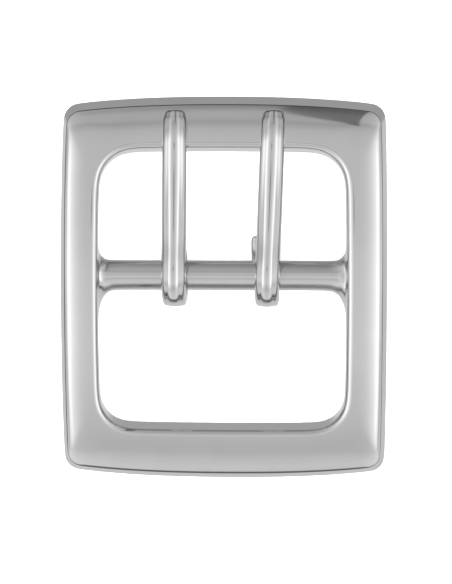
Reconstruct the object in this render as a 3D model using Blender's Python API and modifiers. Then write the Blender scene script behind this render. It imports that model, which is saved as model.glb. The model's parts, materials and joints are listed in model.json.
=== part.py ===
"""Double-prong belt buckle: an arched cast frame with its centre bar, and two prongs hinged on that bar.

The buckle lies on its back. +Z points out of its face, +Y the way the prongs point, +X to the right.
"""

import math

import bmesh
import bpy
import numpy as np

# Driving dimensions, in millimetres.
MM = 0.001

# Frame outline. A side bows outward: it falls back by BOW at the distance BOW_AT from its middle.
OUTER_HALF_X = 26.20
OUTER_HALF_Y = 30.80
OUTER_CORNER = 2.7
SIDE_BOW = 0.22
SIDE_BOW_AT = 25.0
SIDE_BOW_POWER = 2.4
END_BOW = 0.84
END_BOW_AT = 21.5
END_BOW_POWER = 2.7

# Window through the frame, 40 mm wide for a 40 mm belt. Its end walls lean outward towards the face.
BACK_SHIFT_X = -0.34
BACK_HALF_X = 20.05
BACK_HALF_Y = 21.9
FRONT_SHIFT_X = -0.19
FRONT_HALF_X = 19.85
FRONT_HALF_Y = 22.55
WINDOW_CORNER_UPPER = 5.5
WINDOW_CORNER_LOWER = 4.8
WINDOW_BOW = 0.12
EDGE_ROUND_LEFT = 0.85
EDGE_ROUND_RIGHT = 1.1
EDGE_ROUND_END = 0.85

# Heights. The frame is arched over the X axis and rests on a flat land under each end.
ARCH_RADIUS = 195.0
FRONT_TOP = 7.1
BACK_TOP = 2.0
LAND_INSET = 0.45

# The face falls from the window's edge to the shoulder by a broad dome and a steep roll-off.
# A sloping rim runs round outside the shoulder. It reaches out this far at the sides and at each end,
# and its drop is in proportion.
SIDE_DOME = 0.50
END_DOME = 0.85
DOME_POWER = 2.5
ROLL_OFF = 0.38
ROLL_OFF_POWER = 8.0
SIDE_RIM = 0.70
UPPER_RIM = 1.22
LOWER_RIM = 0.86
RIM_STEEPNESS = 1.65
SHOULDER_CORNER = 2.6

# Bar, an oval rod that flares into the side rails. It stands lower than the face.
# Its flank on the lower window's side is flatter.
BAR_Y = 2.1
BAR_Z = 3.8
BAR_HALF_Y = 2.48
BAR_HALF_Z = 1.62
BAR_PROFILE = (
    (0.66, 0.80),
    (0.00, 1.15),
    (-0.48, 0.85),
    (-1.13, -0.30),
    (-0.70, -0.80),
    (0.00, -1.11),
    (0.78, -0.78),
    (1.12, -0.08),
)
FLARE_UP = 4.4
FLARE_DOWN = 6.3
FLARE_CORNER = 0.72

# Prongs. The path is the line along the middle of the inner face, seen from the side.
HINGE_Z = 4.25
PRONG_LEFT_X = -7.80
PRONG_RIGHT_X = 7.12
PRONG_HALF_WIDTH = 1.98
TIP_HALF_WIDTH = 1.92
PRONG_THICKNESS = 2.1
TIP_THICKNESS = 1.58
CROWN_PEAK = 0.94
CROWN_SLOPE = 0.90
LOOP_CROWN_SHARE = 0.2
TAIL_THICKNESS = 1.35
LOOP_RADIUS = 2.84
LOOP_SQUARENESS = 2.5
LEAN_LEFT = math.radians(0.25)
LEAN_RIGHT = math.radians(2.0)
TAIL_SHIFT_LEFT = -0.30
TAIL_SHIFT_RIGHT = -1.35

SMOOTHING = 1

BRIGHT_METAL = (0.72, 0.72, 0.71)


def clear_scene():
    for item in list(bpy.data.objects):
        bpy.data.objects.remove(item, do_unlink=True)


def new_collection(name):
    made = bpy.data.collections.new(name)
    bpy.context.scene.collection.children.link(made)
    return made


def metal(name, colour, roughness):
    made = bpy.data.materials.new(name)
    made.use_nodes = True
    shader = made.node_tree.nodes["Principled BSDF"]
    shader.inputs["Base Color"].default_value = (*colour, 1.0)
    shader.inputs["Metallic"].default_value = 1.0
    shader.inputs["Roughness"].default_value = roughness
    made.diffuse_color = (*colour, 1.0)
    return made


def blend(a, b, share):
    return a + (b - a) * share


def smooth_step(share):
    share = min(max(share, 0.0), 1.0)
    return share * share * (3.0 - 2.0 * share)


def bow(distance, depth, at, power):
    return depth * (abs(distance) / at) ** power


class Outline:
    """A rounded rectangle whose sides bow outward. A place on it is a segment name and a share along it."""

    def __init__(self, half_x, half_y, corner, side_bow, end_bow):
        self.half_x = half_x
        self.half_y = half_y
        self.corner = corner
        self.side_bow = side_bow
        self.end_bow = end_bow
        self.side_end = half_y - corner
        for _ in range(40):
            centre, start, stop = self.corner_arc()
            end_x = centre[0] + corner * math.cos(stop)
            end_y = centre[1] + corner * math.sin(stop)
            self.side_end += (half_y - bow(end_x, *end_bow)) - end_y
        self.end_end = end_x

    def slope(self, distance, shape):
        step = 0.01
        return (bow(distance + step, *shape) - bow(distance - step, *shape)) / (2.0 * step)

    def corner_arc(self):
        lean = math.atan(self.slope(self.side_end, self.side_bow))
        x = self.half_x - bow(self.side_end, *self.side_bow)
        centre = (x - self.corner * math.cos(lean), self.side_end - self.corner * math.sin(lean))
        top = math.atan(self.slope(centre[0], self.end_bow))
        return centre, lean, math.pi / 2.0 - top

    def first_quarter(self, segment, share):
        """Point and outward normal for the side, corner or end with positive X and Y."""
        if segment == "side":
            y = self.side_end * share
            lean = math.atan(self.slope(y, self.side_bow)) if y else 0.0
            return (self.half_x - bow(y, *self.side_bow), y), (math.cos(lean), math.sin(lean))
        if segment == "corner":
            centre, start, stop = self.corner_arc()
            angle = blend(start, stop, share)
            normal = (math.cos(angle), math.sin(angle))
            return (centre[0] + self.corner * normal[0], centre[1] + self.corner * normal[1]), normal
        x = self.end_end * (1.0 - share)
        lean = math.atan(self.slope(x, self.end_bow)) if x else 0.0
        return (x, self.half_y - bow(x, *self.end_bow)), (math.sin(lean), math.cos(lean))

    def at(self, segment, share, sign_x, sign_y):
        point, normal = self.first_quarter(segment, share)
        return (
            np.array([point[0] * sign_x, point[1] * sign_y]),
            np.array([normal[0] * sign_x, normal[1] * sign_y]),
        )


def front_z(y):
    return FRONT_TOP - y * y / (2.0 * ARCH_RADIUS)


def back_z(y):
    return max(0.0, BACK_TOP - y * y / (2.0 * ARCH_RADIUS))


def section(place, outer, inner, front, back):
    """The frame's cross-section at one place, going along the back, up the outside and over the face."""
    rim, rim_normal = outer.at(*place)
    shoulder = inner.at(*place)[0]
    edge, edge_normal = front.at(*place)
    foot, foot_normal = back.at(*place)
    edge[0] += FRONT_SHIFT_X
    foot[0] += BACK_SHIFT_X
    segment, share, sign_x, _ = place
    toward_end = {"side": 0.0, "corner": smooth_step(share), "end": 1.0}[segment]
    edge_round = blend(EDGE_ROUND_RIGHT if sign_x > 0 else EDGE_ROUND_LEFT, EDGE_ROUND_END, toward_end)
    dome = blend(SIDE_DOME, END_DOME, toward_end)

    def inward(distance):
        return rim - rim_normal * distance

    shoulder_z = front_z(shoulder[1]) - dome - ROLL_OFF
    points = []

    def add(where, height):
        points.append((where[0], where[1], height))

    def add_back(where):
        add(where, back_z(where[1]))

    near_edge = edge + edge_normal * edge_round
    face_end = near_edge + edge_normal * 0.3
    add(foot, back_z(foot[1]) + 0.45)
    add_back(foot + foot_normal * 0.35)
    add_back(blend(foot + foot_normal * 0.35, inward(LAND_INSET), 0.40))
    add_back(blend(foot + foot_normal * 0.35, inward(LAND_INSET), 0.72))
    add_back(inward(LAND_INSET + 0.7))
    add_back(inward(LAND_INSET))
    add(inward(0.10), back_z(rim[1]) + 0.22)
    rim_drop = RIM_STEEPNESS * np.linalg.norm(rim - shoulder)
    add(rim, back_z(rim[1]) + 0.75)
    for part in (0.0, 0.08, 0.5, 0.94, 1.0):
        add(blend(rim, shoulder, part), shoulder_z - rim_drop * (1.0 - part))
    for part in (0.03, 0.09, 0.18, 0.32, 0.54, 0.79):
        where = blend(shoulder, face_end, part)
        fall = dome * (1.0 - part) ** DOME_POWER + ROLL_OFF * (1.0 - part) ** ROLL_OFF_POWER
        add(where, front_z(where[1]) - fall)
    add(face_end, front_z(face_end[1]))
    for turn in (0.0, 30.0, 60.0):
        angle = math.radians(turn)
        where = edge + edge_normal * edge_round * (1.0 - math.sin(angle))
        add(where, front_z(near_edge[1]) - edge_round * (1.0 - math.cos(angle)))
    wall_top = front_z(edge[1]) - edge_round * 1.05
    wall_foot = back_z(foot[1]) + 0.45
    for part in (0.0, 0.04, 0.5, 0.9):
        where = blend(edge, foot, part)
        add(where, blend(wall_top, wall_foot, part))
    return points


def places_round(upper_window, lower_window):
    """Every place round the frame, anticlockwise from the middle of its lower end."""
    bar_shares = [(BAR_Y + FLARE_UP) / upper_window.side_end, BAR_Y / upper_window.side_end]
    low_share = (FLARE_DOWN - BAR_Y) / lower_window.side_end
    upper = [("side", share, 1, 1) for share in (bar_shares[1], bar_shares[0], 0.58, 0.80)]
    upper += [("corner", step / 4.0, 1, 1) for step in range(5)]
    upper += [("end", share, 1, 1) for share in (0.30, 0.65)]
    upper += [("end", 1.0, 1, 1)]
    lower = [("side", share, 1, -1) for share in (low_share, 0.52, 0.78)]
    lower += [("corner", step / 4.0, 1, -1) for step in range(5)]
    lower += [("end", share, 1, -1) for share in (0.30, 0.65)]
    lower += [("end", 1.0, 1, -1)]
    right = lower[::-1] + upper
    left = [(segment, share, -1, side) for segment, share, _, side in right[1:-1]]
    return right + left[::-1], len(lower)


def grid_faces(build, rows, closed_rows):
    """Quads between neighbouring rows of vertices, each row a closed ring."""
    faces = {}
    count = len(rows)
    for i in range(count if closed_rows else count - 1):
        here, there = rows[i], rows[(i + 1) % count]
        for j in range(len(here)):
            k = (j + 1) % len(here)
            faces[i, j] = build.faces.new((here[j], there[j], there[k], here[k]))
    return faces


def bar_ring(x, up, down, half_z):
    """The cage's points round the bar at one X, starting at the upper front."""
    ring = []
    for across, height in BAR_PROFILE:
        reach = up if across > 0.0 else down
        ring.append((x, BAR_Y + reach * across, BAR_Z + half_z * height))
    return ring


def build_frame():
    outer = Outline(
        OUTER_HALF_X,
        OUTER_HALF_Y,
        OUTER_CORNER,
        (SIDE_BOW, SIDE_BOW_AT, SIDE_BOW_POWER),
        (END_BOW, END_BOW_AT, END_BOW_POWER),
    )
    shoulders = {}
    for side, rim in ((1, UPPER_RIM), (-1, LOWER_RIM)):
        half_x, half_y = OUTER_HALF_X - SIDE_RIM, OUTER_HALF_Y - rim
        shoulders[side] = Outline(half_x, half_y, SHOULDER_CORNER, outer.side_bow, outer.end_bow)
    window_bow = (WINDOW_BOW, FRONT_HALF_X - WINDOW_CORNER_UPPER, 2.0)
    windows = {}
    for side, corner in ((1, WINDOW_CORNER_UPPER), (-1, WINDOW_CORNER_LOWER)):
        front = Outline(FRONT_HALF_X, FRONT_HALF_Y, corner + 0.2, window_bow, window_bow)
        back = Outline(BACK_HALF_X, BACK_HALF_Y, corner, window_bow, window_bow)
        windows[side] = (front, back)
    places, lower_count = places_round(windows[1][0], windows[-1][0])

    build = bmesh.new()
    rows = []
    for place in places:
        ring = section(place, outer, shoulders[place[3]], *windows[place[3]])
        rows.append([build.verts.new(np.array(point) * MM) for point in ring])
    faces = grid_faces(build, rows, True)

    # The wall's patch that the bar grows from, on the right and mirrored on the left.
    last = len(rows[0]) - 1
    high, middle, low = last - 2, last - 1, last
    right_low = lower_count - 1
    left_low = len(places) - right_low
    ends = []
    for first, step in ((right_low, 1), (left_low, -1)):
        down, at_bar, up = (first % len(places), first + step, first + 2 * step)
        columns = (down, at_bar) if step == 1 else (at_bar, up)
        for column in columns:
            for row in (high, middle):
                build.faces.remove(faces.pop((column, row)))
        build.verts.remove(rows[at_bar][middle])
        order = [(up, high), (at_bar, high), (down, high), (down, middle)]
        order += [(down, low), (at_bar, low), (up, low), (up, middle)]
        end = [rows[i][j] for i, j in order]
        for corner in end[::2]:
            corner.co.y = MM * BAR_Y + (corner.co.y - MM * BAR_Y) * FLARE_CORNER
            corner.co.z = MM * BAR_Z + (corner.co.z - MM * BAR_Z) * FLARE_CORNER
        ends.append(end)

    rings = [ends[0]]
    shapes = [
        (19.30, 0.55, 1.60, 0.12),
        (18.70, 0.08, 0.60, 0.03),
        (17.80, 0.00, 0.12, 0.00),
        (16.50, 0.00, 0.00, 0.00),
        (6.00, 0.00, 0.00, 0.00),
    ]
    right = [(x + BACK_SHIFT_X, *flare) for x, *flare in shapes]
    left = [(-x + BACK_SHIFT_X, *flare) for x, *flare in shapes[::-1]]
    for x, up, down, thicker in right + left:
        shape = (x, BAR_HALF_Y + up, BAR_HALF_Y + down, BAR_HALF_Z + thicker)
        rings.append([build.verts.new(np.array(p) * MM) for p in bar_ring(*shape)])
    rings.append(ends[1])
    for here, there in zip(rings, rings[1:]):
        for j in range(len(here)):
            k = (j + 1) % len(here)
            build.faces.new((here[j], here[k], there[k], there[j]))
    return build


def through(points):
    """Control points whose smoothed surface passes through these points, along the first axis."""
    control = np.array(points, float)
    for _ in range(60):
        smoothed = control.copy()
        smoothed[1:-1] = (control[:-2] + 4.0 * control[1:-1] + control[2:]) / 6.0
        control += np.array(points) - smoothed
    return control


def through_ring(points):
    """The same for a closed ring, along the second axis."""
    control = np.array(points, float)
    for _ in range(60):
        before = np.roll(control, 1, axis=1)
        after = np.roll(control, -1, axis=1)
        control += np.array(points) - (before + 4.0 * control + after) / 6.0
    return control


def loop_thickness(angle):
    """The loop is round inside. Outside it is a rounded square, thinner at the back."""
    front = LOOP_RADIUS + PRONG_THICKNESS
    back = LOOP_RADIUS + TAIL_THICKNESS
    across, up = abs(math.cos(angle)), abs(math.sin(angle))
    far = front if math.sin(angle) > 0.0 or math.cos(angle) < 0.0 else back
    tall = front if math.sin(angle) > 0.0 else back
    power = LOOP_SQUARENESS
    outside = ((across / far) ** power + (up / tall) ** power) ** (-1.0 / power)
    return outside - LOOP_RADIUS


def prong_path():
    """Stations from tail to tip: reach along Y and height from the hinge, then thickness and half width."""
    stations = []
    tail_turn = math.radians(-66.0)
    departs = (LOOP_RADIUS * math.cos(tail_turn), LOOP_RADIUS * math.sin(tail_turn))
    along = (-math.sin(tail_turn), math.cos(tail_turn))
    for distance, thickness, half in (
        (5.45, 0.62, 0.95),
        (5.30, 0.98, 1.35),
        (4.80, 1.25, 1.70),
        (3.60, TAIL_THICKNESS, 1.86),
        (2.00, TAIL_THICKNESS, PRONG_HALF_WIDTH),
    ):
        reach = departs[0] + along[0] * distance
        height = departs[1] + along[1] * distance
        stations.append((reach, height, thickness, half))
    for turn in (-66, -95, -122, -150, -180, -205, -228, -250, -270):
        angle = math.radians(turn)
        reach = LOOP_RADIUS * math.cos(angle)
        height = LOOP_RADIUS * math.sin(angle)
        stations.append((reach, height, loop_thickness(angle), PRONG_HALF_WIDTH))
    shank = (
        (1.6, 2.76),
        (3.4, 2.53),
        (5.6, 2.25),
        (8.3, 2.08),
        (11.6, 2.02),
        (15.6, 1.94),
        (18.9, 1.88),
        (21.2, 1.80),
        (23.0, 1.58),
        (24.6, 1.17),
    )
    for reach, height in shank:
        thickness = blend(PRONG_THICKNESS, TIP_THICKNESS, smooth_step((reach - 3.0) / 17.0))
        half = blend(PRONG_HALF_WIDTH, TIP_HALF_WIDTH, smooth_step((reach - 12.0) / 12.0))
        stations.append((reach, height, thickness, half))
    for reach, height, thickness, width_share in (
        (25.30, 0.93, 1.50, 0.93),
        (25.90, 0.77, 1.38, 0.84),
        (26.26, 0.68, 1.22, 0.73),
        (26.53, 0.62, 1.02, 0.57),
        (26.72, 0.61, 0.80, 0.38),
    ):
        stations.append((reach, height, thickness, TIP_HALF_WIDTH * width_share))
    return np.array(stations)


def domed_ring(half, thickness, crown_share):
    """A strip's cross-section: a round crown, upright flanks and a flat underside with rounded corners."""
    crown_share *= min(1.0, 0.95 * thickness / half)

    def crown(x):
        return thickness - crown_share * (math.hypot(CROWN_PEAK, CROWN_SLOPE * x) - CROWN_PEAK)

    shoulder = crown(0.82 * half)
    right = [(x * half, crown(x * half)) for x in (0.24, 0.55, 0.82)]
    right += [(0.96 * half, 0.68 * shoulder), (half, 0.38 * shoulder)]
    right += [(0.82 * half, 0.06 * thickness), (0.30 * half, 0.0)]
    left = [(-x, height) for x, height in right[::-1]]
    return right[::-1] + left[::-1]


def build_prong(lean, tail_shift):
    stations = prong_path()
    line = stations[:, :2]
    grid = []
    for i, (reach, height, thickness, half) in enumerate(stations):
        before, after = line[max(i - 1, 0)], line[min(i + 1, len(line) - 1)]
        along = (after - before) / np.linalg.norm(after - before)
        out = np.array([-along[1], along[0]])
        tail_share = 1.0 - smooth_step(i / 10.0)
        drift = math.tan(lean) * reach + tail_shift * tail_share
        crown_share = blend(LOOP_CROWN_SHARE, 1.0, smooth_step((i - 8.5) / 3.0))
        ring = []
        for x, lift in domed_ring(half, thickness, crown_share):
            ring.append((x + drift, reach + out[0] * lift, height + out[1] * lift))
        grid.append(ring)
    control = through_ring(through(grid))
    build = bmesh.new()
    rows = [[build.verts.new(point * MM) for point in row] for row in control]
    grid_faces(build, rows, False)
    build.faces.new(rows[0])
    build.faces.new(rows[-1][::-1])
    return build


def finish(build, name, place, material, collection):
    """Turns a cage into an object at this place, smoothed."""
    bmesh.ops.recalc_face_normals(build, faces=build.faces[:])
    mesh = bpy.data.meshes.new(name)
    build.to_mesh(mesh)
    build.free()
    made = bpy.data.objects.new(name, mesh)
    made.location = np.array(place) * MM
    collection.objects.link(made)
    mesh.materials.append(material)
    for face in mesh.polygons:
        face.use_smooth = True
    smoothing = made.modifiers.new("smoothing", "SUBSURF")
    smoothing.levels = SMOOTHING
    smoothing.render_levels = SMOOTHING
    return made


def main():
    clear_scene()
    buckle = new_collection("belt_buckle")
    finish(build_frame(), "frame", (0.0, 0.0, 0.0), metal("frame_nickel", BRIGHT_METAL, 0.12), buckle)
    finish(
        build_prong(LEAN_LEFT, TAIL_SHIFT_LEFT),
        "prong_left",
        (PRONG_LEFT_X, BAR_Y, HINGE_Z),
        metal("prong_left_nickel", BRIGHT_METAL, 0.10),
        buckle,
    )
    finish(
        build_prong(LEAN_RIGHT, TAIL_SHIFT_RIGHT),
        "prong_right",
        (PRONG_RIGHT_X, BAR_Y, HINGE_Z),
        metal("prong_right_nickel", BRIGHT_METAL, 0.10),
        buckle,
    )


main()
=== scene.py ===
"""A polished nickel belt buckle on a pale floor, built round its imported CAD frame.

+Z points out of the buckle's face, +Y the way the prongs point.
Every piece stands for the CAD node of the same name and rides on that node's body.
"""

import json
import math

import bmesh
import bpy
import numpy as np
from mathutils import Matrix, Vector


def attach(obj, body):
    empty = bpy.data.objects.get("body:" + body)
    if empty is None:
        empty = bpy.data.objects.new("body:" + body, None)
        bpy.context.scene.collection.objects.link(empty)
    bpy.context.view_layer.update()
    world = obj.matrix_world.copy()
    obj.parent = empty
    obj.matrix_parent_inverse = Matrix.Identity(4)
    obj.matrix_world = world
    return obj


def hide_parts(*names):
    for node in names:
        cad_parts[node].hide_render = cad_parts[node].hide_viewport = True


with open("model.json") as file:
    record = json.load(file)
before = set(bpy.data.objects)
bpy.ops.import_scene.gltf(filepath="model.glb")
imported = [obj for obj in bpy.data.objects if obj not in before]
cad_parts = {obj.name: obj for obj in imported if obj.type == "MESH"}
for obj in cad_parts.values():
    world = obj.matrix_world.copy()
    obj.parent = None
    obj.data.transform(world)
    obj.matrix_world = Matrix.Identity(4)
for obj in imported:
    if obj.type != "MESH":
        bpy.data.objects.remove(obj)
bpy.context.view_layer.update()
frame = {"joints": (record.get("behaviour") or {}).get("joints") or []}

# Driving dimensions, in millimetres.
MM = 0.001

# Frame outline. A side bows outward: it falls back by BOW at the distance BOW_AT from its middle.
OUTER_HALF_X = 26.20
OUTER_HALF_Y = 30.80
OUTER_CORNER = 2.7
SIDE_BOW = 0.22
SIDE_BOW_AT = 25.0
SIDE_BOW_POWER = 2.4
END_BOW = 0.84
END_BOW_AT = 21.5
END_BOW_POWER = 2.7

# Window through the frame, 40 mm wide for a 40 mm belt. Its end walls lean outward towards the face.
BACK_SHIFT_X = -0.34
BACK_HALF_X = 20.05
BACK_HALF_Y = 21.9
FRONT_SHIFT_X = -0.19
FRONT_HALF_X = 19.85
FRONT_HALF_Y = 22.55
WINDOW_CORNER_UPPER = 5.5
WINDOW_CORNER_LOWER = 4.8
WINDOW_BOW = 0.12
EDGE_ROUND_LEFT = 0.85
EDGE_ROUND_RIGHT = 1.1
EDGE_ROUND_END = 0.85

# Heights. The frame is arched over the X axis and rests on a flat land under each end.
ARCH_RADIUS = 195.0
FRONT_TOP = 7.1
BACK_TOP = 2.0
LAND_INSET = 0.45

# The face falls from the window's edge to the shoulder by a broad dome and a steep roll-off.
# A sloping rim runs round outside the shoulder. It reaches out this far at the sides and at each end,
# and its drop is in proportion.
SIDE_DOME = 0.50
END_DOME = 0.85
DOME_POWER = 2.5
ROLL_OFF = 0.38
ROLL_OFF_POWER = 8.0
SIDE_RIM = 0.70
UPPER_RIM = 1.22
LOWER_RIM = 0.86
RIM_STEEPNESS = 1.65
SHOULDER_CORNER = 2.6

# Bar, an oval rod that flares into the side rails. It stands lower than the face.
# Its flank on the lower window's side is flatter.
BAR_Y = 2.1
BAR_Z = 3.8
BAR_HALF_Y = 2.48
BAR_HALF_Z = 1.62
BAR_PROFILE = (
    (0.66, 0.80),
    (0.00, 1.15),
    (-0.48, 0.85),
    (-1.13, -0.30),
    (-0.70, -0.80),
    (0.00, -1.11),
    (0.78, -0.78),
    (1.12, -0.08),
)
FLARE_UP = 4.4
FLARE_DOWN = 6.3
FLARE_CORNER = 0.72

# Prongs. The path is the line along the middle of the inner face, seen from the side.
PRONG_HALF_WIDTH = 1.98
TIP_HALF_WIDTH = 1.92
PRONG_THICKNESS = 2.1
TIP_THICKNESS = 1.58
CROWN_PEAK = 0.94
CROWN_SLOPE = 0.90
LOOP_CROWN_SHARE = 0.2
TAIL_THICKNESS = 1.35
LOOP_RADIUS = 2.84
LOOP_SQUARENESS = 2.5
LEAN_LEFT = math.radians(0.25)
LEAN_RIGHT = math.radians(2.0)
TAIL_SHIFT_LEFT = -0.30
TAIL_SHIFT_RIGHT = -1.35

# Small steps of the frame's section, in millimetres.
WALL_FOOT_RISE = 0.45
BACK_EDGE_INSET = 0.35
LAND_WIDTH = 0.7
FACE_EDGE_STEP = 0.3

SMOOTHING = 3

# Metal and floor.
METAL_GREY = (0.72, 0.72, 0.72)
FRAME_ROUGHNESS = 0.07
FRAME_WAVINESS = 4e-7
PRONG_ROUGHNESS = 0.06
PRONG_WAVINESS = 3e-7
PATCH_SCALE = 160.0
PATCH_DULLNESS = 0.04
PATCH_EDGES = ((0.35, 0.0), (0.65, 1.0))
PATCH_DARKENS = 0.985
PATCH_LIGHTENS = 1.01
HAIR_SCALE = (9000.0, 500.0, 3000.0)
HAIR_TURN = math.radians(18.0)
HAIR_DULLNESS = 0.02
PEEL_SCALE = 420.0
GRAIN_SCALE = 3500.0
FLOOR_PAINT = (0.93, 0.93, 0.93, 1.0)

# Camera. It looks down on the face, from a little towards the prongs' tips and a little from the right.
CAMERA_DISTANCE = 0.450
CAMERA_TILT = math.radians(4.6)
CAMERA_YAW = math.radians(3.0)
CAMERA_AIM = (0.00035, -0.00054, 0.0035)
CAMERA_LENS = 172.7
CAMERA_NEAR = 0.01
CAMERA_FAR = 20.0

# Cast skin of the bar, in millimetres. The grain is the height of its roughest spots.
CAST_REACH_X = 20.0
CAST_REACH_Y = 4.5
CAST_DULLNESS = 0.10
CAST_GRAIN = 0.003

# Stage, in metres. A round wall stands far outside the buckle.
FLOOR_GAP = 0.0002
FLOOR_SIZE = 8.0
WALL_RADIUS = 3.0
WALL_HEIGHT = 3.0
WALL_CORNERS = 96

# Light on the floor.
SUN_STRENGTH = 9.0
SUN_SPREAD = math.radians(170.0)

# The room's brightness by the angle from straight up, in degrees, from -Y towards +Y.
ROOM_LEVELS = (
    (-90.0, 0.72),
    (-60.0, 0.75),
    (-44.0, 0.69),
    (-34.0, 0.59),
    (-26.0, 0.59),
    (-20.0, 0.65),
    (-13.0, 0.75),
    (-8.0, 0.76),
    (3.0, 0.67),
    (12.0, 0.65),
    (22.0, 0.59),
    (27.0, 0.50),
    (31.0, 0.44),
    (36.0, 0.51),
    (48.0, 0.52),
    (58.0, 0.47),
    (66.0, 0.39),
    (78.0, 0.32),
    (90.0, 0.30),
)
# What the side strips add, by the angle from the camera's direction towards either side.
STRIP_LEVELS = (
    (0.0, 0.0),
    (6.0, 0.0),
    (12.0, 0.07),
    (17.0, 0.16),
    (23.0, 0.30),
    (30.0, 0.44),
    (37.0, 0.66),
    (43.0, 0.78),
    (52.0, 0.72),
    (58.0, 0.30),
    (63.0, 0.02),
    (71.0, 0.15),
    (82.0, 0.0),
)
# How strongly the strips show, by the same angle as the room's brightness.
STRIP_REACH = (
    (-70.0, 0.15),
    (-38.0, 0.30),
    (-24.0, 1.0),
    (12.0, 1.0),
    (20.0, 0.50),
    (30.0, 0.45),
    (48.0, 0.20),
)
# Near the horizon and below it, by half the direction's height plus a half.
HORIZON = ((0.50, 0.0), (0.535, 0.15), (0.58, 1.0))
TABLE_BELOW = (
    (0.16, 0.72),
    (0.27, 0.68),
    (0.36, 0.50),
    (0.40, 0.16),
    (0.50, 0.13),
    (0.53, 0.10),
    (0.57, 0.0),
)
# The table is darker towards the tips. This is its share, by half the direction's Y plus a half.
TABLE_ALONG = ((0.50, 1.0), (0.66, 0.62))
# A dark card beyond the tips, to the right of the camera. Its near edge is a curve, where the angle past
# CARD_LOW times the angle across is CARD_BEND.
CARD_LOW = math.radians(21.0)
CARD_BEND = math.radians(60.0) * math.radians(1.0)
CARD_BLUR = 0.002
CARD_RIGHT = math.radians(8.2)
CARD_SOFTNESS = math.radians(0.5)
CARD_DARKENS = 0.60
# The dark round of the lens.
LENS_RADIUS = math.radians(1.2)
LENS_SOFTNESS = math.radians(1.8)
LENS_DARKENS = 0.70


def blend(a, b, share):
    return a + (b - a) * share


def smooth_step(share):
    share = min(max(share, 0.0), 1.0)
    return share * share * (3.0 - 2.0 * share)


def bow(distance, depth, at, power):
    return depth * (abs(distance) / at) ** power


class Outline:
    """A rounded rectangle whose sides bow outward. A place on it is a segment name and a share along it."""

    def __init__(self, half_x, half_y, corner, side_bow, end_bow):
        self.half_x = half_x
        self.half_y = half_y
        self.corner = corner
        self.side_bow = side_bow
        self.end_bow = end_bow
        self.side_end = half_y - corner
        for _ in range(40):
            centre, start, stop = self.corner_arc()
            end_x = centre[0] + corner * math.cos(stop)
            end_y = centre[1] + corner * math.sin(stop)
            self.side_end += (half_y - bow(end_x, *end_bow)) - end_y
        self.end_end = end_x

    def slope(self, distance, shape):
        step = 0.01
        return (bow(distance + step, *shape) - bow(distance - step, *shape)) / (2.0 * step)

    def corner_arc(self):
        lean = math.atan(self.slope(self.side_end, self.side_bow))
        x = self.half_x - bow(self.side_end, *self.side_bow)
        centre = (x - self.corner * math.cos(lean), self.side_end - self.corner * math.sin(lean))
        top = math.atan(self.slope(centre[0], self.end_bow))
        return centre, lean, math.pi / 2.0 - top

    def first_quarter(self, segment, share):
        """Point and outward normal for the side, corner or end with positive X and Y."""
        if segment == "side":
            y = self.side_end * share
            lean = math.atan(self.slope(y, self.side_bow)) if y else 0.0
            return (self.half_x - bow(y, *self.side_bow), y), (math.cos(lean), math.sin(lean))
        if segment == "corner":
            centre, start, stop = self.corner_arc()
            angle = blend(start, stop, share)
            normal = (math.cos(angle), math.sin(angle))
            return (centre[0] + self.corner * normal[0], centre[1] + self.corner * normal[1]), normal
        x = self.end_end * (1.0 - share)
        lean = math.atan(self.slope(x, self.end_bow)) if x else 0.0
        return (x, self.half_y - bow(x, *self.end_bow)), (math.sin(lean), math.cos(lean))

    def at(self, segment, share, sign_x, sign_y):
        point, normal = self.first_quarter(segment, share)
        return (
            np.array([point[0] * sign_x, point[1] * sign_y]),
            np.array([normal[0] * sign_x, normal[1] * sign_y]),
        )


def front_z(y):
    return FRONT_TOP - y * y / (2.0 * ARCH_RADIUS)


def back_z(y):
    return max(0.0, BACK_TOP - y * y / (2.0 * ARCH_RADIUS))


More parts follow.
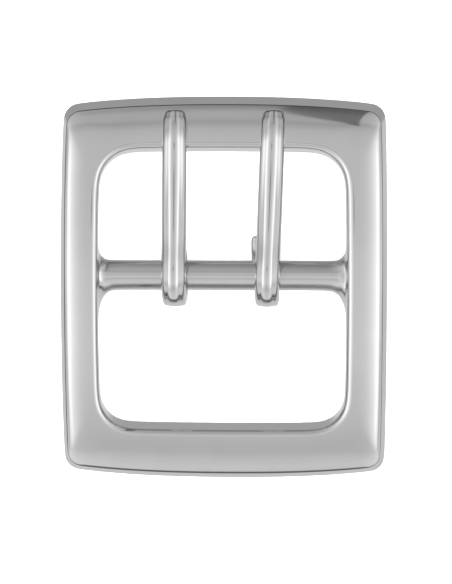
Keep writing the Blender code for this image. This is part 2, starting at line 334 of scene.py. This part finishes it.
def section(place, outer, inner, front, back):
    """The frame's cross-section at one place, going along the back, up the outside and over the face."""
    rim, rim_normal = outer.at(*place)
    shoulder = inner.at(*place)[0]
    edge, edge_normal = front.at(*place)
    foot, foot_normal = back.at(*place)
    edge[0] += FRONT_SHIFT_X
    foot[0] += BACK_SHIFT_X
    segment, share, sign_x, _ = place
    toward_end = {"side": 0.0, "corner": smooth_step(share), "end": 1.0}[segment]
    edge_round = blend(EDGE_ROUND_RIGHT if sign_x > 0 else EDGE_ROUND_LEFT, EDGE_ROUND_END, toward_end)
    dome = blend(SIDE_DOME, END_DOME, toward_end)

    def inward(distance):
        return rim - rim_normal * distance

    shoulder_z = front_z(shoulder[1]) - dome - ROLL_OFF
    points = []

    def add(where, height):
        points.append((where[0], where[1], height))

    def add_back(where):
        add(where, back_z(where[1]))

    near_edge = edge + edge_normal * edge_round
    face_end = near_edge + edge_normal * FACE_EDGE_STEP
    back_edge = foot + foot_normal * BACK_EDGE_INSET
    add(foot, back_z(foot[1]) + WALL_FOOT_RISE)
    add_back(back_edge)
    add_back(blend(back_edge, inward(LAND_INSET), 0.40))
    add_back(blend(back_edge, inward(LAND_INSET), 0.72))
    add_back(inward(LAND_INSET + LAND_WIDTH))
    add_back(inward(LAND_INSET))
    add(inward(0.10), back_z(rim[1]) + 0.22)
    rim_drop = RIM_STEEPNESS * np.linalg.norm(rim - shoulder)
    add(rim, back_z(rim[1]) + 0.75)
    for part in (0.0, 0.08, 0.5, 0.94, 1.0):
        add(blend(rim, shoulder, part), shoulder_z - rim_drop * (1.0 - part))
    for part in (0.03, 0.09, 0.18, 0.32, 0.54, 0.79):
        where = blend(shoulder, face_end, part)
        fall = dome * (1.0 - part) ** DOME_POWER + ROLL_OFF * (1.0 - part) ** ROLL_OFF_POWER
        add(where, front_z(where[1]) - fall)
    add(face_end, front_z(face_end[1]))
    for turn in (0.0, 30.0, 60.0):
        angle = math.radians(turn)
        where = edge + edge_normal * edge_round * (1.0 - math.sin(angle))
        add(where, front_z(near_edge[1]) - edge_round * (1.0 - math.cos(angle)))
    wall_top = front_z(edge[1]) - edge_round * 1.05
    wall_foot = back_z(foot[1]) + WALL_FOOT_RISE
    for part in (0.0, 0.04, 0.5, 0.9):
        where = blend(edge, foot, part)
        add(where, blend(wall_top, wall_foot, part))
    return points


def places_round(upper_window, lower_window):
    """Every place round the frame, anticlockwise from the middle of its lower end."""
    bar_shares = [(BAR_Y + FLARE_UP) / upper_window.side_end, BAR_Y / upper_window.side_end]
    low_share = (FLARE_DOWN - BAR_Y) / lower_window.side_end
    upper = [("side", share, 1, 1) for share in (bar_shares[1], bar_shares[0], 0.58, 0.80)]
    upper += [("corner", step / 4.0, 1, 1) for step in range(5)]
    upper += [("end", share, 1, 1) for share in (0.30, 0.65)]
    upper += [("end", 1.0, 1, 1)]
    lower = [("side", share, 1, -1) for share in (low_share, 0.52, 0.78)]
    lower += [("corner", step / 4.0, 1, -1) for step in range(5)]
    lower += [("end", share, 1, -1) for share in (0.30, 0.65)]
    lower += [("end", 1.0, 1, -1)]
    right = lower[::-1] + upper
    left = [(segment, share, -1, side) for segment, share, _, side in right[1:-1]]
    return right + left[::-1], len(lower)


def grid_faces(build, rows, closed_rows):
    """Quads between neighbouring rows of vertices, each row a closed ring."""
    faces = {}
    count = len(rows)
    for i in range(count if closed_rows else count - 1):
        here, there = rows[i], rows[(i + 1) % count]
        for j in range(len(here)):
            k = (j + 1) % len(here)
            faces[i, j] = build.faces.new((here[j], there[j], there[k], here[k]))
    return faces


def bar_ring(x, up, down, half_z):
    """The cage's points round the bar at one X, starting at the upper front."""
    ring = []
    for across, height in BAR_PROFILE:
        reach = up if across > 0.0 else down
        ring.append((x, BAR_Y + reach * across, BAR_Z + half_z * height))
    return ring


def build_frame():
    outer = Outline(
        OUTER_HALF_X,
        OUTER_HALF_Y,
        OUTER_CORNER,
        (SIDE_BOW, SIDE_BOW_AT, SIDE_BOW_POWER),
        (END_BOW, END_BOW_AT, END_BOW_POWER),
    )
    shoulders = {}
    for side, rim in ((1, UPPER_RIM), (-1, LOWER_RIM)):
        half_x, half_y = OUTER_HALF_X - SIDE_RIM, OUTER_HALF_Y - rim
        shoulders[side] = Outline(half_x, half_y, SHOULDER_CORNER, outer.side_bow, outer.end_bow)
    window_bow = (WINDOW_BOW, FRONT_HALF_X - WINDOW_CORNER_UPPER, 2.0)
    windows = {}
    for side, corner in ((1, WINDOW_CORNER_UPPER), (-1, WINDOW_CORNER_LOWER)):
        front = Outline(FRONT_HALF_X, FRONT_HALF_Y, corner + 0.2, window_bow, window_bow)
        back = Outline(BACK_HALF_X, BACK_HALF_Y, corner, window_bow, window_bow)
        windows[side] = (front, back)
    places, lower_count = places_round(windows[1][0], windows[-1][0])

    build = bmesh.new()
    rows = []
    for place in places:
        ring = section(place, outer, shoulders[place[3]], *windows[place[3]])
        rows.append([build.verts.new(np.array(point) * MM) for point in ring])
    faces = grid_faces(build, rows, True)

    # The wall's patch that the bar grows from, on the right and mirrored on the left.
    last = len(rows[0]) - 1
    high, middle, low = last - 2, last - 1, last
    right_low = lower_count - 1
    left_low = len(places) - right_low
    ends = []
    for first, step in ((right_low, 1), (left_low, -1)):
        down, at_bar, up = (first % len(places), first + step, first + 2 * step)
        columns = (down, at_bar) if step == 1 else (at_bar, up)
        for column in columns:
            for row in (high, middle):
                build.faces.remove(faces.pop((column, row)))
        build.verts.remove(rows[at_bar][middle])
        order = [(up, high), (at_bar, high), (down, high), (down, middle)]
        order += [(down, low), (at_bar, low), (up, low), (up, middle)]
        end = [rows[i][j] for i, j in order]
        for corner in end[::2]:
            corner.co.y = MM * BAR_Y + (corner.co.y - MM * BAR_Y) * FLARE_CORNER
            corner.co.z = MM * BAR_Z + (corner.co.z - MM * BAR_Z) * FLARE_CORNER
        ends.append(end)

    rings = [ends[0]]
    shapes = [
        (19.30, 0.55, 1.60, 0.12),
        (18.70, 0.08, 0.60, 0.03),
        (17.80, 0.00, 0.12, 0.00),
        (16.50, 0.00, 0.00, 0.00),
        (6.00, 0.00, 0.00, 0.00),
    ]
    right = [(x + BACK_SHIFT_X, *flare) for x, *flare in shapes]
    left = [(-x + BACK_SHIFT_X, *flare) for x, *flare in shapes[::-1]]
    for x, up, down, thicker in right + left:
        shape = (x, BAR_HALF_Y + up, BAR_HALF_Y + down, BAR_HALF_Z + thicker)
        rings.append([build.verts.new(np.array(p) * MM) for p in bar_ring(*shape)])
    rings.append(ends[1])
    for here, there in zip(rings, rings[1:]):
        for j in range(len(here)):
            k = (j + 1) % len(here)
            build.faces.new((here[j], here[k], there[k], there[j]))
    return build


def through(points):
    """Control points whose smoothed surface passes through these points, along the first axis."""
    control = np.array(points, float)
    for _ in range(60):
        smoothed = control.copy()
        smoothed[1:-1] = (control[:-2] + 4.0 * control[1:-1] + control[2:]) / 6.0
        control += np.array(points) - smoothed
    return control


def through_ring(points):
    """The same for a closed ring, along the second axis."""
    control = np.array(points, float)
    for _ in range(60):
        before = np.roll(control, 1, axis=1)
        after = np.roll(control, -1, axis=1)
        control += np.array(points) - (before + 4.0 * control + after) / 6.0
    return control


def loop_thickness(angle):
    """The loop is round inside. Outside it is a rounded square, thinner at the back."""
    front = LOOP_RADIUS + PRONG_THICKNESS
    back = LOOP_RADIUS + TAIL_THICKNESS
    across, up = abs(math.cos(angle)), abs(math.sin(angle))
    far = front if math.sin(angle) > 0.0 or math.cos(angle) < 0.0 else back
    tall = front if math.sin(angle) > 0.0 else back
    power = LOOP_SQUARENESS
    outside = ((across / far) ** power + (up / tall) ** power) ** (-1.0 / power)
    return outside - LOOP_RADIUS


def prong_path():
    """Stations from tail to tip: reach along Y and height from the hinge, then thickness and half width."""
    stations = []
    tail_turn = math.radians(-66.0)
    departs = (LOOP_RADIUS * math.cos(tail_turn), LOOP_RADIUS * math.sin(tail_turn))
    along = (-math.sin(tail_turn), math.cos(tail_turn))
    for distance, thickness, half in (
        (5.45, 0.62, 0.95),
        (5.30, 0.98, 1.35),
        (4.80, 1.25, 1.70),
        (3.60, TAIL_THICKNESS, 1.86),
        (2.00, TAIL_THICKNESS, PRONG_HALF_WIDTH),
    ):
        reach = departs[0] + along[0] * distance
        height = departs[1] + along[1] * distance
        stations.append((reach, height, thickness, half))
    for turn in (-66, -95, -122, -150, -180, -205, -228, -250, -270):
        angle = math.radians(turn)
        reach = LOOP_RADIUS * math.cos(angle)
        height = LOOP_RADIUS * math.sin(angle)
        stations.append((reach, height, loop_thickness(angle), PRONG_HALF_WIDTH))
    shank = (
        (1.6, 2.76),
        (3.4, 2.53),
        (5.6, 2.25),
        (8.3, 2.08),
        (11.6, 2.02),
        (15.6, 1.94),
        (18.9, 1.88),
        (21.2, 1.80),
        (23.0, 1.58),
        (24.6, 1.17),
    )
    for reach, height in shank:
        thickness = blend(PRONG_THICKNESS, TIP_THICKNESS, smooth_step((reach - 3.0) / 17.0))
        half = blend(PRONG_HALF_WIDTH, TIP_HALF_WIDTH, smooth_step((reach - 12.0) / 12.0))
        stations.append((reach, height, thickness, half))
    for reach, height, thickness, width_share in (
        (25.30, 0.93, 1.50, 0.93),
        (25.90, 0.77, 1.38, 0.84),
        (26.26, 0.68, 1.22, 0.73),
        (26.53, 0.62, 1.02, 0.57),
        (26.72, 0.61, 0.80, 0.38),
    ):
        stations.append((reach, height, thickness, TIP_HALF_WIDTH * width_share))
    return np.array(stations)


def domed_ring(half, thickness, crown_share):
    """A strip's cross-section: a round crown, upright flanks and a flat underside with rounded corners."""
    crown_share *= min(1.0, 0.95 * thickness / half)

    def crown(x):
        return thickness - crown_share * (math.hypot(CROWN_PEAK, CROWN_SLOPE * x) - CROWN_PEAK)

    shoulder = crown(0.82 * half)
    right = [(x * half, crown(x * half)) for x in (0.24, 0.55, 0.82)]
    right += [(0.96 * half, 0.68 * shoulder), (half, 0.38 * shoulder)]
    right += [(0.82 * half, 0.06 * thickness), (0.30 * half, 0.0)]
    left = [(-x, height) for x, height in right[::-1]]
    return right[::-1] + left[::-1]


def build_prong(lean, tail_shift):
    stations = prong_path()
    line = stations[:, :2]
    grid = []
    for i, (reach, height, thickness, half) in enumerate(stations):
        before, after = line[max(i - 1, 0)], line[min(i + 1, len(line) - 1)]
        along = (after - before) / np.linalg.norm(after - before)
        out = np.array([-along[1], along[0]])
        tail_share = 1.0 - smooth_step(i / 10.0)
        drift = math.tan(lean) * reach + tail_shift * tail_share
        crown_share = blend(LOOP_CROWN_SHARE, 1.0, smooth_step((i - 8.5) / 3.0))
        ring = []
        for x, lift in domed_ring(half, thickness, crown_share):
            ring.append((x + drift, reach + out[0] * lift, height + out[1] * lift))
        grid.append(ring)
    control = through_ring(through(grid))
    build = bmesh.new()
    rows = [[build.verts.new(point * MM) for point in row] for row in control]
    grid_faces(build, rows, False)
    build.faces.new(rows[0])
    build.faces.new(rows[-1][::-1])
    return build


def piece_from(build, name, place, material):
    """Turns a cage into a smooth piece that stands for the CAD node of the same name."""
    bmesh.ops.recalc_face_normals(build, faces=build.faces[:])
    mesh = bpy.data.meshes.new(name + "_polished")
    build.to_mesh(mesh)
    build.free()
    made = bpy.data.objects.new(name + "_polished", mesh)
    made.location = Vector(place)
    bpy.context.scene.collection.objects.link(made)
    mesh.materials.append(material)
    for face in mesh.polygons:
        face.use_smooth = True
    smoothing = made.modifiers.new("smoothing", "SUBSURF")
    smoothing.levels = SMOOTHING
    smoothing.render_levels = SMOOTHING
    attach(made, name)
    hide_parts(name)


class Nodes:
    """Short calls for building a node tree."""

    def __init__(self, tree):
        self.tree = tree

    def add(self, kind, **settings):
        made = self.tree.nodes.new(kind)
        for name, value in settings.items():
            setattr(made, name, value)
        return made

    def link(self, source, target):
        self.tree.links.new(source, target)

    def math(self, operation, a, b=None, clamp=False):
        made = self.add("ShaderNodeMath", operation=operation, use_clamp=clamp)
        for slot, value in enumerate((a, b)):
            if value is None:
                continue
            if isinstance(value, (int, float)):
                made.inputs[slot].default_value = value
            else:
                self.link(value, made.inputs[slot])
        return made.outputs[0]

    def ramp(self, value, stops, interpolation):
        made = self.add("ShaderNodeValToRGB")
        made.color_ramp.interpolation = interpolation
        elements = made.color_ramp.elements
        while len(elements) < len(stops):
            elements.new(0.5)
        for element, (position, level) in zip(elements, stops):
            element.position = position
            element.color = (level, level, level, 1.0)
        self.link(value, made.inputs[0])
        return made.outputs[0]

    def product(self, *values):
        made = values[0]
        for value in values[1:]:
            made = self.math("MULTIPLY", made, value)
        return made

    def noise(self, vector, scale, detail, roughness):
        made = self.add("ShaderNodeTexNoise")
        made.inputs["Scale"].default_value = scale
        made.inputs["Detail"].default_value = detail
        made.inputs["Roughness"].default_value = roughness
        self.link(vector, made.inputs["Vector"])
        return made.outputs["Fac"]


def nickel(name, colour, roughness, waviness, cast_bar=False):
    """Polished nickel plate: fine hairlines, faint patches of duller polish and a very slight orange-peel.

    Between the side rails the bar keeps its duller, grainier cast skin.
    """
    made = bpy.data.materials.new(name)
    made.use_nodes = True
    nodes = Nodes(made.node_tree)
    shader = made.node_tree.nodes["Principled BSDF"]
    shader.inputs["Metallic"].default_value = 1.0
    where = nodes.add("ShaderNodeTexCoord").outputs["Object"]

    patches = nodes.noise(where, PATCH_SCALE, 4.0, 0.6)
    hairs_at = nodes.add("ShaderNodeMapping")
    hairs_at.inputs["Scale"].default_value = HAIR_SCALE
    hairs_at.inputs["Rotation"].default_value = (0.0, 0.0, HAIR_TURN)
    nodes.link(where, hairs_at.inputs["Vector"])
    hairs = nodes.noise(hairs_at.outputs[0], 1.0, 2.0, 0.5)
    dull = nodes.product(nodes.math("SUBTRACT", patches, 0.5), PATCH_DULLNESS)
    hair_dull = nodes.product(nodes.math("SUBTRACT", hairs, 0.5), HAIR_DULLNESS)
    dull = nodes.math("ADD", dull, hair_dull)
    peel = nodes.product(nodes.noise(where, PEEL_SCALE, 1.0, 0.4), waviness / MM)
    if cast_bar:
        parts = nodes.add("ShaderNodeSeparateXYZ")
        nodes.link(where, parts.inputs[0])
        off_x = nodes.math("ABSOLUTE", parts.outputs[0])
        off_y = nodes.math("ABSOLUTE", nodes.math("SUBTRACT", parts.outputs[1], MM * BAR_Y))
        near_x = nodes.math("DIVIDE", nodes.math("SUBTRACT", MM * CAST_REACH_X, off_x), MM, clamp=True)
        near_y = nodes.math("DIVIDE", nodes.math("SUBTRACT", MM * CAST_REACH_Y, off_y), MM, clamp=True)
        cast = nodes.product(near_x, near_y)
        grain = nodes.math("SUBTRACT", nodes.noise(where, GRAIN_SCALE, 2.0, 0.6), 0.5)
        dull = nodes.math("ADD", dull, nodes.product(cast, CAST_DULLNESS))
        peel = nodes.math("ADD", peel, nodes.product(grain, cast, CAST_GRAIN))
    nodes.link(nodes.math("ADD", dull, roughness, clamp=True), shader.inputs["Roughness"])

    tint = nodes.add("ShaderNodeMix", data_type="RGBA")
    tint.inputs["A"].default_value = (*[c * PATCH_DARKENS for c in colour], 1.0)
    tint.inputs["B"].default_value = (*[min(c * PATCH_LIGHTENS, 1.0) for c in colour], 1.0)
    nodes.link(nodes.ramp(patches, PATCH_EDGES, "EASE"), tint.inputs["Factor"])
    nodes.link(tint.outputs["Result"], shader.inputs["Base Color"])

    bump = nodes.add("ShaderNodeBump")
    bump.inputs["Strength"].default_value = 1.0
    bump.inputs["Distance"].default_value = MM
    nodes.link(peel, bump.inputs["Height"])
    nodes.link(bump.outputs[0], shader.inputs["Normal"])
    return made


def pale_floor():
    """A matt floor and a round wall of the same paint. The metal reflects the room instead of them."""
    made = bpy.data.materials.new("pale_floor")
    made.use_nodes = True
    shader = made.node_tree.nodes["Principled BSDF"]
    shader.inputs["Base Color"].default_value = FLOOR_PAINT
    shader.inputs["Roughness"].default_value = 1.0
    shader.inputs["Specular IOR Level"].default_value = 0.0
    bpy.ops.mesh.primitive_plane_add(size=FLOOR_SIZE, location=(0.0, 0.0, -FLOOR_GAP))
    floor = bpy.context.object
    floor.name = "floor"
    bpy.ops.mesh.primitive_cylinder_add(
        vertices=WALL_CORNERS,
        radius=WALL_RADIUS,
        depth=WALL_HEIGHT,
        end_fill_type="NOTHING",
        location=(0.0, 0.0, 0.0),
    )
    wall = bpy.context.object
    wall.name = "wall"
    wall.visible_diffuse = False
    wall.visible_shadow = False
    for piece in (floor, wall):
        piece.data.materials.append(made)
        piece.visible_glossy = False


def studio_world():
    """The room the metal reflects, drawn by direction.

    Its brightness varies along Y overhead. Two bright strips stand left and right of the camera, and the
    lens is a small dark round. One dark card stands beyond the tips, and a light table lies below a dark
    horizon.
    """
    world = bpy.data.worlds.new("studio")
    bpy.context.scene.world = world
    world.use_nodes = True
    nodes = Nodes(world.node_tree)
    background = world.node_tree.nodes["Background"]
    direction = nodes.add("ShaderNodeTexCoord").outputs["Generated"]
    parts = nodes.add("ShaderNodeSeparateXYZ")
    nodes.link(direction, parts.inputs[0])
    x, y, z = parts.outputs

    across = nodes.math("ADD", nodes.math("ARCTAN2", x, z), CAMERA_YAW)
    side = nodes.math("DIVIDE", nodes.math("ABSOLUTE", across), math.pi)
    lengthways = nodes.math("ARCTAN2", y, z)
    along = nodes.math("ADD", nodes.math("DIVIDE", lengthways, 2.0 * math.pi), 0.5)
    height = nodes.math("ADD", nodes.math("MULTIPLY", z, 0.5), 0.5)

    def turns(levels):
        return [(angle / 360.0 + 0.5, level) for angle, level in levels]

    room = nodes.ramp(along, turns(ROOM_LEVELS), "LINEAR")
    strip = nodes.ramp(side, [(angle / 180.0, level) for angle, level in STRIP_LEVELS], "LINEAR")
    reach = nodes.ramp(along, turns(STRIP_REACH), "LINEAR")
    upper = nodes.math("ADD", room, nodes.product(strip, reach))

    above_low = nodes.math("MAXIMUM", nodes.math("SUBTRACT", lengthways, CARD_LOW), 0.0)
    on_right = nodes.math("MAXIMUM", across, 0.0)
    past_edge = nodes.math("SUBTRACT", nodes.product(above_low, on_right), CARD_BEND)
    past_edge = nodes.math("DIVIDE", past_edge, CARD_BLUR, clamp=True)
    from_middle = nodes.product(across, nodes.math("COSINE", lengthways))
    before_right = nodes.math("SUBTRACT", CARD_RIGHT, from_middle)
    before_right = nodes.math("DIVIDE", before_right, CARD_SOFTNESS, clamp=True)
    past_card = nodes.math("SUBTRACT", 1.0, nodes.product(past_edge, before_right, CARD_DARKENS))

    off_lens = nodes.math("SUBTRACT", lengthways, CAMERA_TILT)
    off_lens = nodes.math("ADD", nodes.math("POWER", off_lens, 2.0), nodes.math("POWER", across, 2.0))
    inside = nodes.math("SUBTRACT", LENS_RADIUS + LENS_SOFTNESS, nodes.math("SQRT", off_lens))
    lens = nodes.math("DIVIDE", inside, LENS_SOFTNESS, clamp=True)
    past_lens = nodes.math("SUBTRACT", 1.0, nodes.product(lens, LENS_DARKENS))

    shade = nodes.product(past_card, past_lens)
    above = nodes.product(upper, shade, nodes.ramp(height, HORIZON, "EASE"))
    half_y = nodes.math("ADD", nodes.math("MULTIPLY", y, 0.5), 0.5)
    table = nodes.product(nodes.ramp(height, TABLE_BELOW, "EASE"), nodes.ramp(half_y, TABLE_ALONG, "EASE"))
    total = nodes.math("ADD", above, table)
    nodes.link(total, background.inputs["Strength"])
    background.inputs["Color"].default_value = (1.0, 1.0, 1.0, 1.0)


def floor_light():
    """Soft light from above for the floor. It doesn't show in the metal, which reflects the room."""
    lamp = bpy.data.lights.new("overhead", "SUN")
    lamp.energy = SUN_STRENGTH
    lamp.angle = SUN_SPREAD
    made = bpy.data.objects.new("overhead", lamp)
    made.location = (0.0, 0.0, 1.0)
    made.visible_glossy = False
    bpy.context.scene.collection.objects.link(made)


def camera():
    data = bpy.data.cameras.new("camera")
    data.lens = CAMERA_LENS
    data.clip_start = CAMERA_NEAR
    data.clip_end = CAMERA_FAR
    made = bpy.data.objects.new("camera", data)
    back = Vector((math.tan(CAMERA_YAW), math.tan(CAMERA_TILT), 1.0)).normalized()
    made.location = Vector(CAMERA_AIM) + back * CAMERA_DISTANCE
    right = Vector((0.0, 1.0, 0.0)).cross(back).normalized()
    made.rotation_euler = Matrix((right, back.cross(right), back)).transposed().to_euler()
    bpy.context.scene.collection.objects.link(made)
    bpy.context.scene.camera = made


def main():
    bpy.context.scene.view_settings.view_transform = "Standard"
    frame_metal = nickel("frame_nickel", METAL_GREY, FRAME_ROUGHNESS, FRAME_WAVINESS, cast_bar=True)
    piece_from(build_frame(), "frame", (0.0, 0.0, 0.0), frame_metal)
    hinges = {joint["child"]: joint["pos_m"] for joint in frame["joints"]}
    for name, lean, shift in (
        ("prong_left", LEAN_LEFT, TAIL_SHIFT_LEFT),
        ("prong_right", LEAN_RIGHT, TAIL_SHIFT_RIGHT),
    ):
        metal = nickel(name, METAL_GREY, PRONG_ROUGHNESS, PRONG_WAVINESS)
        piece_from(build_prong(lean, shift), name, hinges[name], metal)
    pale_floor()
    studio_world()
    floor_light()
    camera()


main()
